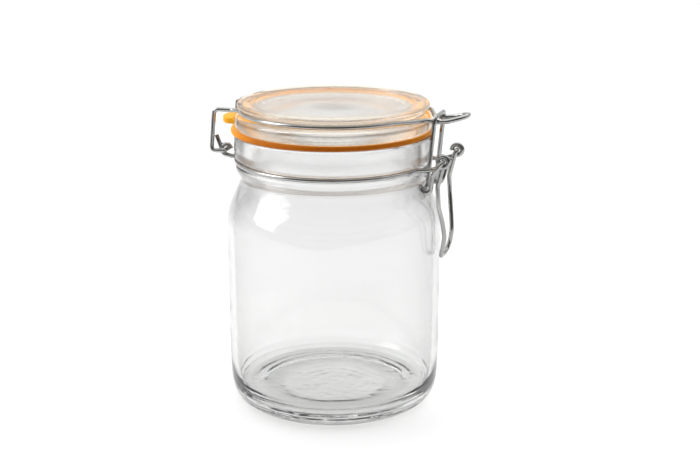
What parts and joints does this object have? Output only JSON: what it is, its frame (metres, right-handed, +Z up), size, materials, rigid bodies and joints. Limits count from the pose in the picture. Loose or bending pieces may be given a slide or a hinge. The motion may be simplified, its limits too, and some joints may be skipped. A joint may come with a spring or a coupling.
{
  "type": "wire-clamp glass jar",
  "caption": "Clear glass preserving jar with a hinged glass lid, an orange rubber sealing ring and a bent-wire lever clamp, shown closed and empty.",
  "frame": {"origin": "centre of the flat underside, on the surface the jar stands on", "axes": "+Z up through the lid, +X from the hinge towards the clamp, +Y across the mechanism along the hinge axes"},
  "size_m": [0.1365, 0.1128, 0.161],
  "materials": {
    "jar_glass": "clear polished",
    "lid_glass": "clear polished",
    "gasket": "smooth matte",
    "wire": "bright drawn"
  },
  "bodies": {
    "jar": {"jar_glass": "jar_glass", "neck_wire": "wire"},
    "lid": {"lid_glass": "lid_glass", "gasket": "gasket", "lid_wire": "wire"},
    "lever": {"lever": "wire"},
    "bail": {"bail": "wire"}
  },
  "joints": [
    {"name": "lid_hinge", "type": "hinge", "parent": "jar", "child": "lid", "pos_m": [-0.055, 0, 0.134], "axis": [0, -1, 0], "range_deg": [0, 100]},
    {"name": "lever_swing", "type": "hinge", "parent": "jar", "child": "lever", "pos_m": [0.0625, 0, 0.136], "axis": [0, -1, 0], "range_deg": [0, 75]},
    {"name": "bail_swing", "type": "hinge", "parent": "lever", "child": "bail", "pos_m": [0.053, 0, 0.1213], "axis": [0, -1, 0], "range_deg": [-125, 0]}
  ],
  "couplings": [
    {"joint": "lever_swing", "follows": "lid_hinge", "ratio": 0.75},
    {"joint": "bail_swing", "follows": "lid_hinge", "ratio": -1.25}
  ]
}
